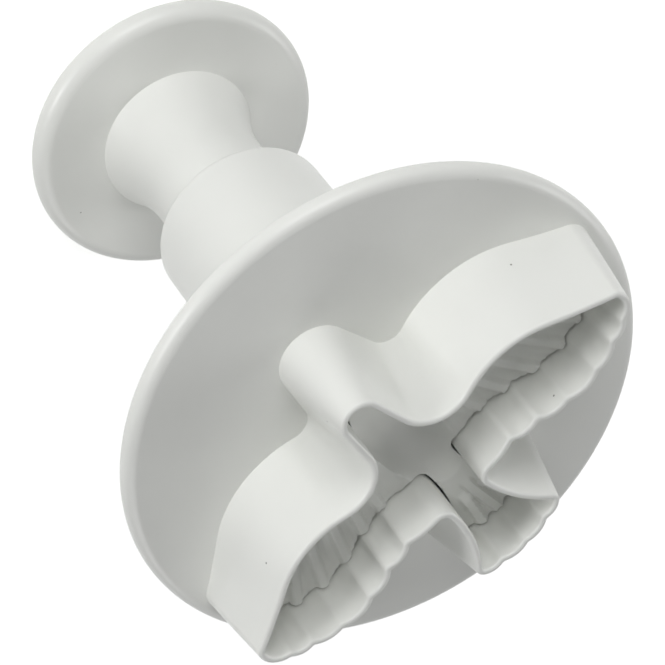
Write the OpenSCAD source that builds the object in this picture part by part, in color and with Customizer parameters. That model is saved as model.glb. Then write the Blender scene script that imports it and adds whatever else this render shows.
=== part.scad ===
// Flying-bird plunger cutter for sugar paste and thin dough.
// Pressing the knob slides a stem down the barrel, and the ribbed plate on the
// stem embosses the paste inside the cutting wall and then pushes it out.
// The knob's flat rear stands on z = 0 and the cutting edge faces +Z. The
// bird's head points to -Y, and all sizes are in millimetres.

/* [Bird] */
// Width over the wing tips at the cutting edge
wing_span = 60.5; // [50:0.5:80]
// Height of the cutting wall above the flange
wall_h = 12.8; // [10:0.1:16]
// Thickness of the wall at its cutting edge
lip_t = 0.8; // [0.6:0.05:1]
// How far the foot of the wall spreads beyond its edge
wall_draft = 2.4; // [1.2:0.1:3]
// How much less the foot spreads round the head
head_foot_cut = 0.4; // [0:0.05:1]
// How much less the foot spreads round the wing tips
tip_foot_cut = 0.75; // [0:0.05:1.2]
// Height of the bevels that soften the cutting edge
lip_bevel = 0.22; // [0.1:0.02:0.3]

/* [Flange and barrel] */
// Flat margin between the foot of the wing tips and the flange's rim
flange_margin = 1.35; // [0.5:0.05:4]
// Thickness of the flange, whose rim is fully round
flange_t = 3; // [2:0.1:5]
// Outer diameter of the barrel
barrel_d = 23.6; // [22.5:0.1:30]
// Length of the barrel behind the flange
barrel_len = 40; // [34:0.5:55]
// Wall of the barrel round its bore
barrel_wall = 2; // [1.2:0.1:2.4]
// Length of the narrow land that guides the neck at the rear of the barrel
land_len = 6; // [4:0.5:9]
// Rounding of the barrel's rear rim
barrel_round_r = 1; // [0.3:0.1:1.4]
// Length of the spigot and of the guide boss behind the flange
spigot_len = 4; // [2.5:0.1:6]
// Gap between the spring and the spigot round it
spring_gap = 0.5; // [0.3:0.05:1]
// Wall of the boss that guides the stem
boss_wall = 1; // [0.8:0.05:1.15]

/* [Embosser] */
// Depth of the plate's face below the cutting edge at rest
plate_recess = 7; // [5:0.1:9]
// Thickness of the embossing plate
plate_t = 3; // [2.4:0.1:3.4]
// Gap between the plate and the wall all round
plate_gap = 0.3; // [0.2:0.02:0.4]
// Diameter of the hub behind the plate
hub_d = 13; // [11:0.1:14]
// Gap between the hub and the flange at rest
stop_gap = 0.1; // [0.05:0.01:0.5]
// Width of a raised feather rib
rib_w = 1.1; // [0.8:0.05:1.5]
// Depth of the dish that forms the bird's body
dish_deep = 1.25; // [0.6:0.05:1.6]

/* [Stem and spring] */
// Diameter of the stem
stem_d = 8; // [7:0.1:8.1]
// Depth of the stem's end inside the hub and plate
stem_in_hub = 3.4; // [2.6:0.1:3.8]
// Diameter of the pilot hole in the stem's rear end
pilot_d = 3; // [2.4:0.1:3.4]
// Depth of the pilot hole
pilot_deep = 10; // [9.5:0.5:20]
// Travel of the plunger
travel = 9.5; // [7:0.1:11]
// Diameter of the spring's wire
wire_d = 1.1; // [0.9:0.05:1.15]
// Mean diameter of the spring's curls
spring_d = 12.4; // [12.3:0.05:13]
// Number of curls in the spring
spring_curls = 10; // [8:1:11]

/* [Knob] */
// Diameter of the knob
knob_d = 40; // [34:0.5:50]
// Thickness of the knob, whose rim is fully round
knob_t = 4; // [3:0.1:5]
// Length of neck that shows between the knob and the barrel
neck_show = 21; // [17:0.5:28]
// Length of neck inside the barrel at rest
neck_in = 13; // [11:0.5:16]
// How far the neck lies inside the barrel's bore
neck_step = 1.65; // [1.1:0.05:2.1]
// How far the flare's foot spreads beyond the neck
flare_out = 2.45; // [1:0.05:6]
// Diameter of the rear recess
recess_d = 27; // [20:0.5:30]
// Depth of the rear recess
recess_deep = 1.6; // [1:0.1:2]
// Diameter of the screw's access bore
access_d = 9; // [7.5:0.1:10]
// Depth of the access bore from the knob's rear face
access_deep = 14; // [10:0.5:18]
// Thickness of the web under the screw's head
web_t = 3; // [2:0.1:5]
// Hole for the screw in the web
screw_hole_d = 3.4; // [3.1:0.1:4]

/* [Cap and screw] */
// How far the cap lies below the knob's rear face
cap_sink = 0.1; // [0.05:0.05:0.4]
// Gap round the cap and its plug
cap_gap = 0.1; // [0.05:0.01:0.2]
// Length of the cap's plug
plug_len = 4; // [2.5:0.5:6]
// Diameter of the screw's head
screw_head_d = 6; // [5:0.1:7]
// Height of the screw's head
screw_head_h = 2.2; // [1.6:0.1:3]
// Diameter of the screw's shank
screw_d = 3; // [2.4:0.1:3]
// Length of the screw below its head
screw_len = 12; // [8:0.5:12.5]
// Width of the cross recess in the screw's head
drive_w = 0.8; // [0.5:0.05:1.1]
// Depth of the cross recess
drive_deep = 1.2; // [0.6:0.1:1.5]

/* [Fits] */
// Running gap on each side of the neck in the barrel's land
neck_gap = 0.06; // [0.03:0.01:0.1]
// Running gap on each side of the stem in the flange
stem_gap = 0.05; // [0.03:0.01:0.1]
// Gap on each side of the bonded spigot and of the stem's fixed ends
bond_gap = 0.05; // [0.02:0.01:0.1]

/* [Hidden] */
$fn = 96;
eps = 0.02;
// How deep the cutting wall is rooted in the flange
root = 0.5;
least_r = 0.15;
// Spare way between the barrel and the flare when the knob is pressed home
flare_gap = 0.5;
white = [0.92, 0.925, 0.91];
steel = [0.66, 0.67, 0.69];

// Outline of the right half, from the head round the wing to the tail, in
// arcs whose centres, radii and notches are shares of the wing span
head_share = [0, -0.2455];
head_r_share = 0.0463;
waist_share = [0.1355, -0.1785];
shoulder_share = [0.2446, 0.0926];
shoulder_r_share = 0.2116;
lead_r_share = 2;
tip_r_share = 0.0215;
notch_shares = [
    [0.5025, 0.0223], [0.4661, 0.0702], [0.4207, 0.0926], [0.357, 0.1182],
    [0.2739, 0.1182], [0.2066, 0.0967], [0.1438, 0.0843], [0.0595, 0.095]
];
lobe_shares = [0.0099, 0.0083, 0.0099, 0.014, 0.0116, 0.0107, 0.0066];
crotch_r_share = 0.02;
tail_side_share = [0.3562, 0.1054];
tail_side_r_share = 0.3025;
tail_tip_r_share = 0.0215;
tail_notch_shares = [[0.1125, 0.295], [0.061, 0.3168], [0, 0.327]];
tail_lobe_shares = [0.0105, 0.0091];
// Direction in which the shoulder's curve ends, at the edge and at the foot
lead_turn = -56.5;
foot_lead_turn = -49;
// Steps in each arc of the outline
head_steps = 10;
waist_steps = 11;
shoulder_steps = 11;
lead_steps = 4;
tip_steps = 5;
lobe_steps = 7;
crotch_steps = 4;
tail_side_steps = 6;
tail_tip_steps = 4;

// Feather ribs as pairs of ends, and the dish's length ahead of and behind its middle
rib_shares = [
    [[0.106, -0.1], [0.1425, 0.073]], [[0.1405, -0.1], [0.204, 0.09]],
    [[0.1835, -0.11], [0.271, 0.11]], [[0.236, -0.11], [0.338, 0.107]],
    [[0.26, -0.11], [0.397, 0.085]], [[0.0225, 0.205], [0.0445, 0.31]]
];
mid_rib_share = [[0, 0.175], [0, 0.325]];
dish_axis_share = 0.1116;
dish_front_sag_share = 0.0116;
dish_front_share = 0.3;
dish_rear_share = 0.157;

// Places along the axis
barrel_z = knob_t + neck_show;
neck_top_z = barrel_z + neck_in;
flange_z = barrel_z + barrel_len;
face_z = flange_z + flange_t;
edge_z = face_z + wall_h;
plate_face_z = edge_z - plate_recess;
plate_rear_z = plate_face_z - plate_t;
hub_z = face_z + stop_gap;
boss_z = flange_z - spigot_len;
web_top_z = access_deep + web_t;
stem_top_z = hub_z + stem_in_hub;

// Radii
flange_r = wing_span / 2 + wall_draft + flange_margin;
barrel_r = barrel_d / 2;
bore_r = barrel_r - barrel_wall;
neck_r = bore_r - neck_step;
knob_r = knob_d / 2;
stem_r = stem_d / 2;
wire_r = wire_d / 2;
spigot_r = bore_r - bond_gap;
spigot_in_r = spring_d / 2 + wire_r + spring_gap;
boss_r = stem_r + stem_gap + boss_wall;
flare_h = neck_show - travel - flare_gap;
flare_r = (flare_out * flare_out + flare_h * flare_h) / (2 * flare_out);

function dir(turn) = [cos(turn), sin(turn)];
function heading(v) = atan2(v[1], v[0]);
function near(turn, ref) = turn - 360 * round((turn - ref) / 360);

// Where the circles round a and b cross, on the left of a to b for side 1
function meet(a, a_r, b, b_r, side) =
    let (
        gap = norm(b - a),
        along = (gap * gap + a_r * a_r - b_r * b_r) / (2 * gap),
        off = sqrt(max(a_r * a_r - along * along, 0)),
        e = (b - a) / gap
    )
    a + along * e + side * off * [-e[1], e[0]];

// Radius and centre of the lobe that rises by bulge over the notches p and q
function lobe_r(p, q, bulge) = (norm(q - p) * norm(q - p) / 4 + bulge * bulge) / (2 * bulge);
function lobe_c(p, q, bulge) =
    let (e = (q - p) / norm(q - p))
    (p + q) / 2 + (lobe_r(p, q, bulge) - bulge) * [-e[1], e[0]];

// Points of an arc after its first one, turning the short way
function arc(c, r, from, to, steps) =
    [for (i = [1:steps]) c + r * dir(from + (near(to, from) - from) * i / steps)];

// Points of the arc that runs on a circle from heading to heading
function sweep(c, r, p, q, steps) = arc(c, r, heading(p - c), heading(q - c), steps);

head_c = wing_span * head_share;
waist_c = wing_span * waist_share;
shoulder_c = wing_span * shoulder_share;
shoulder_r = wing_span * shoulder_r_share;
waist_r = norm(shoulder_c - waist_c) - shoulder_r;
lead_r = wing_span * lead_r_share;
notches = wing_span * notch_shares;
lobes = len(lobe_shares);
wing_c = [for (i = [0:lobes - 1]) lobe_c(notches[i], notches[i + 1], wing_span * lobe_shares[i])];
wing_r = [for (i = [0:lobes - 1]) lobe_r(notches[i], notches[i + 1], wing_span * lobe_shares[i])];
side_c = wing_span * tail_side_share;
side_r = wing_span * tail_side_r_share;
tail_notches = wing_span * tail_notch_shares;
tail_c = [for (i = [0:1]) lobe_c(tail_notches[i], tail_notches[i + 1], wing_span * tail_lobe_shares[i])];
tail_r = [for (i = [0:1]) lobe_r(tail_notches[i], tail_notches[i + 1], wing_span * tail_lobe_shares[i])];
inset_most = lip_t + plate_gap + least_r;
tip_r = max(wing_span * tip_r_share, inset_most);
tail_tip_r = max(wing_span * tail_tip_r_share, inset_most);
tail_tip_c = meet(side_c, side_r + tail_tip_r, tail_c[0], tail_r[0] - tail_tip_r, -1);

// Right half of the outline, grown by d. less takes some of that off the head
// and off the wing tip, and turn is where the straighter leading edge starts on
// the shoulder.
function half_outline(d, less, turn) =
    let (
        last = lobes - 1,
        head_r = wing_span * head_r_share + d - less[0],
        tip_d = d - less[1],
        lobe_d = [tip_d, for (i = [1:last]) d],
        leave = heading(waist_c - head_c) - acos((head_r + waist_r - d) / norm(waist_c - head_c)),
        shoulder_turn = heading(shoulder_c - waist_c),
        lead_c = shoulder_c + (shoulder_r + lead_r) * dir(turn),
        tip_c = meet(lead_c, lead_r + tip_r - less[1], wing_c[0], wing_r[0] - tip_r, -1),
        crotch_r = max(wing_span * crotch_r_share - d, least_r),
        crotch_c = meet(wing_c[last], wing_r[last] + d + crotch_r, side_c, side_r - d - crotch_r, 1),
        notch = [
            for (i = [0:last - 1])
                meet(wing_c[i], wing_r[i] + lobe_d[i], wing_c[i + 1], wing_r[i + 1] + lobe_d[i + 1], -1)
        ],
        tail_notch = meet(tail_c[0], tail_r[0] + d, tail_c[1], tail_r[1] + d, -1),
        tail_mid = [0, tail_c[1][1] + sqrt(pow(tail_r[1] + d, 2) - pow(tail_c[1][0], 2))]
    )
    [
        head_c + [0, -head_r],
        each arc(head_c, head_r, -90, leave, head_steps),
        each arc(waist_c, waist_r - d, leave + 180, shoulder_turn, waist_steps),
        each arc(shoulder_c, shoulder_r + d, shoulder_turn - 180, turn, shoulder_steps),
        each arc(lead_c, lead_r - d, turn + 180, heading(tip_c - lead_c), lead_steps),
        each arc(tip_c, tip_r + tip_d, heading(lead_c - tip_c), heading(tip_c - wing_c[0]), tip_steps),
        for (i = [0:last])
            let (
                from = i == 0 ? heading(tip_c - wing_c[0]) : heading(notch[i - 1] - wing_c[i]),
                to = i == last ? heading(crotch_c - wing_c[last]) : heading(notch[i] - wing_c[i])
            )
            each arc(wing_c[i], wing_r[i] + lobe_d[i], from, to, lobe_steps),
        each sweep(crotch_c, crotch_r, wing_c[last], 2 * crotch_c - side_c, crotch_steps),
        each sweep(side_c, side_r - d, crotch_c, tail_tip_c, tail_side_steps),
        each sweep(tail_tip_c, tail_tip_r + d, side_c, 2 * tail_tip_c - tail_c[0], tail_tip_steps),
        each sweep(tail_c[0], tail_r[0] + d, tail_tip_c, tail_notch, lobe_steps),
        each sweep(tail_c[1], tail_r[1] + d, tail_notch, tail_mid, lobe_steps)
    ];

// The whole outline: the half, and then its mirror image from tail to head
function outline(d, less = [0, 0], turn = lead_turn) =
    let (half = half_outline(d, less, turn), n = len(half))
    [each half, for (i = [n - 2:-1:1]) [-half[i][0], half[i][1]]];

function lift(ring, z) = [for (p = ring) [p[0], p[1], z]];
foot = outline(wall_draft, [head_foot_cut, tip_foot_cut], foot_lead_turn);

plate_outline = outline(-lip_t - plate_gap);
hub_r = min(hub_d / 2, min([for (p = plate_outline) norm(p)]));

// Rings of the cutting wall, up its outside, over the lip and down its inside
bevel_lean = wall_draft * lip_bevel / wall_h;
wall_rings = [
    lift(foot, face_z - root),
    lift(foot, face_z),
    lift(outline(bevel_lean), edge_z - lip_bevel),
    lift(outline(-lip_bevel), edge_z),
    lift(outline(lip_bevel - lip_t), edge_z),
    lift(outline(-lip_t), edge_z - lip_bevel),
    lift(outline(-lip_t), face_z - root)
];

// Closed skin over rings that end where they start, or over a capped stack
function skin(rings_n, n, closed) = [
    for (k = [0:rings_n - (closed ? 1 : 2)], i = [0:n - 1])
        let (a = k * n + i, b = k * n + (i + 1) % n, up = ((k + 1) % rings_n) * n)
        each [[a, up + i, up + (i + 1) % n], [a, up + (i + 1) % n, b]]
];

// Spring: the end curls lie closer than the others, and its ends seat on the
// neck and on the flange
rings_a_curl = 8;
wire_sides = 6;
end_pitch_share = 1.5;
spring_z = neck_top_z + wire_r;
spring_rise = flange_z - neck_top_z - wire_d;
end_pitch = wire_d * end_pitch_share;
mid_pitch = (spring_rise - 2 * end_pitch) / (spring_curls - 2);
spring_rings = rings_a_curl * spring_curls;
function curl_z(t) =
    end_pitch * min(t, 1) + mid_pitch * min(max(t - 1, 0), spring_curls - 2)
    + end_pitch * max(t - spring_curls + 1, 0);
function wire_ring(i) =
    let (turn = 360 * i / rings_a_curl, z = spring_z + curl_z(i / rings_a_curl))
    [
        for (j = [0:wire_sides - 1])
            let (side = -360 * (j + 0.5) / wire_sides, r = spring_d / 2 + wire_r * cos(side))
            [r * cos(turn), r * sin(turn), z + wire_r * sin(side)]
    ];
least_wire_gap = min([
    for (i = [0:spring_rings - rings_a_curl])
        curl_z((i + rings_a_curl) / rings_a_curl) - curl_z(i / rings_a_curl)
]) - wire_d;
echo(least_wire_gap = least_wire_gap, spring_curls = spring_curls);
echo(flange_d = 2 * flange_r, height = edge_z, hub_r = hub_r);

// A disc from z = 0 up, with a fully round rim
module round_disc(r, t) {
    rotate_extrude() {
        square([r - t / 2, t]);
        translate([r - t / 2, t / 2])
            circle(t / 2);
    }
}

// Upright bar from one height to another
module bar(r, from, to) {
    translate([0, 0, from])
        cylinder(r = r, h = to - from);
}

// Flange with the cutting wall in front, and the spigot and boss behind
module cutter_body() {
    color(white)
        difference() {
            union() {
                translate([0, 0, flange_z])
                    round_disc(flange_r, flange_t);
                polyhedron([for (ring = wall_rings) each ring],
                    skin(len(wall_rings), len(wall_rings[0]), true));
                difference() {
                    bar(spigot_r, boss_z, flange_z + eps);
                    bar(spigot_in_r, boss_z - eps, flange_z);
                }
                bar(boss_r, boss_z, flange_z + eps);
            }
            bar(stem_r + stem_gap, boss_z - eps, face_z + eps);
        }
}

// Tube with a guide land at its rear and a rounded rear rim
module barrel() {
    color(white)
        translate([0, 0, barrel_z])
        difference() {
            rotate_extrude() {
                square([barrel_r - barrel_round_r, barrel_len]);
                translate([0, barrel_round_r])
                    square([barrel_r, barrel_len - barrel_round_r]);
                translate([barrel_r - barrel_round_r, barrel_round_r])
                    circle(barrel_round_r);
            }
            translate([0, 0, -eps])
                cylinder(r = neck_r + neck_gap, h = barrel_len + 2 * eps);
            translate([0, 0, land_len])
                cylinder(r = bore_r, h = barrel_len);
        }
}

// A straight rib with its rounded back half out of the plate
module rib(ends) {
    from = wing_span * ends[0];
    run = wing_span * (ends[1] - ends[0]);
    translate([from[0], from[1], plate_face_z])
        rotate([0, 90, heading(run)])
        cylinder(d = rib_w, h = norm(run), $fn = 32);
}

// Egg-shaped tool that dishes the head and body, lying along the bird
module dish_tool() {
    axis_h = wing_span * dish_axis_share;
    widest = axis_h + dish_deep;
    front = wing_span * dish_front_share;
    rear = wing_span * dish_rear_share;
    front_sag = wing_span * dish_front_sag_share;
    front_r = (front * front + front_sag * front_sag) / (2 * front_sag);
    rear_r = (rear * rear + dish_deep * dish_deep) / (2 * dish_deep);
    translate([0, 0, plate_face_z + axis_h])
        rotate([90, 0, 0])
        rotate_extrude() {
            intersection() {
                square([widest, front]);
                translate([widest - front_r, 0])
                    circle(front_r);
            }
            intersection() {
                translate([0, -rear])
                    square([widest, rear]);
                translate([widest - rear_r, 0])
                    circle(rear_r);
            }
        }
}

// Plate shaped as the bird, with feather ribs, a dished body and a hub
module embosser_plate() {
    color(white)
        difference() {
            union() {
                translate([0, 0, plate_rear_z])
                    linear_extrude(plate_t)
                    polygon(plate_outline);
                intersection() {
                    translate([0, 0, plate_rear_z])
                        linear_extrude(plate_t + rib_w)
                        polygon(plate_outline);
                    union() {
                        rib(mid_rib_share);
                        for (ends = rib_shares) {
                            rib(ends);
                            mirror([1, 0, 0])
                                rib(ends);
                        }
                    }
                }
                bar(hub_r, hub_z, plate_rear_z + eps);
            }
            dish_tool();
            bar(stem_r + bond_gap, hub_z - eps, stem_top_z);
        }
}

// Stem with a pilot hole for the knob's screw
module plunger_stem() {
    color(white)
        difference() {
            bar(stem_r, web_top_z, stem_top_z);
            bar(pilot_d / 2, web_top_z - eps, web_top_z + pilot_deep);
        }
}

// Compression spring of round wire
module return_spring() {
    n = wire_sides;
    end = spring_rings * n;
    color(steel)
        polyhedron(
            [for (i = [0:spring_rings]) each wire_ring(i)],
            [
                each skin(spring_rings + 1, n, false),
                for (j = [1:n - 2]) [0, j, j + 1],
                for (j = [1:n - 2]) [end, end + j + 1, end + j]
            ]
        );
}

// Knob with its flared neck, stem socket and rear recess
module knob() {
    color(white)
        difference() {
            union() {
                round_disc(knob_r, knob_t);
                bar(neck_r, knob_t / 2, neck_top_z);
                rotate_extrude()
                    difference() {
                        translate([0, knob_t / 2])
                            square([neck_r + flare_out, knob_t / 2 + flare_h]);
                        translate([neck_r + flare_r, knob_t + flare_h])
                            circle(flare_r);
                        translate([neck_r + flare_out, knob_t / 2])
                            square([flare_r, flare_h]);
                    }
            }
            bar(recess_d / 2, -eps, recess_deep);
            bar(access_d / 2, -eps, access_deep);
            bar(screw_hole_d / 2, access_deep - eps, web_top_z + eps);
            bar(stem_r + bond_gap, web_top_z, neck_top_z + eps);
        }
}

// Cap that covers the screw from the rear
module knob_cap() {
    color(white) {
        bar(recess_d / 2 - cap_gap, cap_sink, recess_deep);
        bar(access_d / 2 - cap_gap, recess_deep - eps, recess_deep + plug_len);
    }
}

// Pan-head screw with a cross recess
module knob_screw() {
    color(steel)
        difference() {
            union() {
                bar(screw_head_d / 2, access_deep - screw_head_h, access_deep);
                bar(screw_d / 2, access_deep - eps, access_deep + screw_len);
            }
            for (turn = [0, 90])
                rotate(turn)
                translate([-screw_head_d / 4, -drive_w / 2, access_deep - screw_head_h - eps])
                cube([screw_head_d / 2, drive_w, drive_deep + eps]);
        }
}

cutter_body();
barrel();
embosser_plate();
plunger_stem();
return_spring();
knob();
knob_cap();
knob_screw();
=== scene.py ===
"""Studio picture of a plunger cutter that cuts and embosses a flying bird.

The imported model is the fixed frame: the knob's flat rear stands on z = 0, the
cutting edge faces +Z and the bird's head points to -Y. Sizes in the classes of
pieces and finishes are in millimetres, those of the studio are in metres, and
every mesh is built in place in metres.
"""

import cmath
import logging
import math
from collections.abc import Callable, Sequence
from dataclasses import dataclass, field
from enum import Enum
from typing import Any

import bmesh
import bpy
import numpy as np
from bpy.types import Material, Node, NodeSocket, NodeTree, Object, World
from mathutils import Matrix, Vector


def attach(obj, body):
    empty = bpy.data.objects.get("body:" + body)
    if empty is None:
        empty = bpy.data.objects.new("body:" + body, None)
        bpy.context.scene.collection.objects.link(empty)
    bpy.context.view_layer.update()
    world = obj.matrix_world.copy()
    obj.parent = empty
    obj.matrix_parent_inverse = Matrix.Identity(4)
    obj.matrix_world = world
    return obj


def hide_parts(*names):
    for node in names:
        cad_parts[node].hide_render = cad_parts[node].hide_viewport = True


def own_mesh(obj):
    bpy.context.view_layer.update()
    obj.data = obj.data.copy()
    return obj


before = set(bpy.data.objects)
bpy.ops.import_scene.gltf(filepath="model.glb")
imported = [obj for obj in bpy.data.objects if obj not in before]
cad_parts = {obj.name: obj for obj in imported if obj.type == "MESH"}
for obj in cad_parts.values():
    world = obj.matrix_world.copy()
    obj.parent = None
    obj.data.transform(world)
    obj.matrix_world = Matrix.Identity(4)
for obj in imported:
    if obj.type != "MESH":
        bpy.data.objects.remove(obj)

MM = 0.001
# Millimetres left free where two roundings would meet in one point
HAIR = 0.001
# Corners nearer than this become one, in millimetres
WELD = 0.002
# Usual roundings of a moulded edge, in millimetres
CRISP, EASED, SOFT = 0.1, 0.2, 0.3
# Usual step of a drawn rounding, and least angle of an edge that stays sharp, in degrees
ROUND_STEP, CREASE = 12, 35
# Steps in the full turn of a wide and of a narrow form
WIDE_TURN, NARROW_TURN = 160, 96
# Range that a noise seldom leaves
NOISE_RANGE = (0.3, 0.7)
WHITE = (1.0, 1.0, 1.0, 1.0)
# Mesh layer that numbers the corners of a ring
PLACE = "place"
Pair = tuple[float, float]
Triple = tuple[float, float, float]
Colour = tuple[float, float, float, float]
Circle = tuple[complex, float]
Profile = list[complex]
Ring = list[Triple]
log = logging.getLogger("plunger_cutter")


class Ends(Enum):
    """What closes a skin that is drawn out ring by ring."""

    CAPPED = "capped"
    JOINED = "joined"


class Cut(Enum):
    """What a Boolean modifier does with its tool."""

    UNION = "UNION"
    INTERSECT = "INTERSECT"
    DIFFERENCE = "DIFFERENCE"


class Lay(Enum):
    """How a metal's surface was left by its making."""

    DRAWN = "drawn"
    PLATED = "plated"


# Drawing


def polar(radius: float, turn: float) -> complex:
    """Vector of that length at that turn in degrees."""
    return cmath.rect(radius, math.radians(turn))


def heading(vector: complex) -> float:
    """Direction of a vector in degrees."""
    return math.degrees(cmath.phase(vector))


def arc(centre: complex, radius: float, start: float, end: float, steps: int) -> Profile:
    """Draws an arc the short way round.

    Args:
        centre: Middle of the arc's circle.
        radius: Radius of the circle.
        start: Turn at which the arc starts, in degrees.
        end: Turn at which it ends.
        steps: Number of straight steps.

    Returns:
        The points of the arc after its first one.
    """
    sweep = end - start - 360 * round((end - start) / 360)
    return [centre + polar(radius, start + sweep * i / steps) for i in range(1, steps + 1)]


def meet(a: complex, a_radius: float, b: complex, b_radius: float, side: int) -> complex:
    """Finds where two circles cross.

    Args:
        a: Centre of the first circle.
        a_radius: Its radius.
        b: Centre of the second circle.
        b_radius: Its radius.
        side: 1 for the crossing on the left of the line from a to b, else -1.

    Returns:
        The crossing.
    """
    gap = abs(b - a)
    along = (gap**2 + a_radius**2 - b_radius**2) / (2 * gap)
    off = math.sqrt(max(a_radius**2 - along**2, 0))
    return a + (along + side * off * 1j) * (b - a) / gap


def rounded(corners: Sequence[Triple], closed: bool) -> Profile:
    """Rounds the corners of a turned piece's profile.

    Args:
        corners: Radius, height and rounding of each corner.
        closed: Whether the last corner runs on to the first.

    Returns:
        The profile with its roundings drawn in small steps.
    """
    points: Profile = []
    count = len(corners)
    for i, (radius, height, rounding) in enumerate(corners):
        here = complex(radius, height)
        if not rounding or (not closed and i in (0, count - 1)):
            points.append(here)
            continue
        before = complex(*corners[i - 1][:2]) - here
        after = complex(*corners[(i + 1) % count][:2]) - here
        before, after = before / abs(before), after / abs(after)
        half = abs(cmath.phase(after / before)) / 2
        centre = here + (before + after) / abs(before + after) * rounding / math.sin(half)
        first = here + before * rounding / math.tan(half)
        last = here + after * rounding / math.tan(half)
        steps = max(2, round((180 - math.degrees(2 * half)) / ROUND_STEP))
        turns = heading(first - centre), heading(last - centre)
        points += [first, *arc(centre, rounding, *turns, steps)]
    return points


def ease(share: np.ndarray) -> np.ndarray:
    """Smooth step from 0 to 1 over shares from 0 to 1."""
    held = np.clip(share, 0, 1)
    return held * held * (3 - 2 * held)


def beside(spots: np.ndarray, a: complex, b: complex) -> tuple[np.ndarray, np.ndarray]:
    """Finds how far along a straight line each place lies, and how far off it.

    Args:
        spots: Places, as complex numbers.
        a: Start of the line.
        b: End of the line.

    Returns:
        Share of the line's length at its nearest point, and the distance to that point.
    """
    along = b - a
    away = spots - a
    near = np.clip((away * np.conj(along)).real / abs(along) ** 2, 0, 1)
    return near, np.abs(away - near * along)


def lift(plan: Profile, height: float) -> Ring:
    """Lays a plan in millimetres at a height, as a ring in metres."""
    return [(p.real * MM, p.imag * MM, height * MM) for p in plan]


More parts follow.
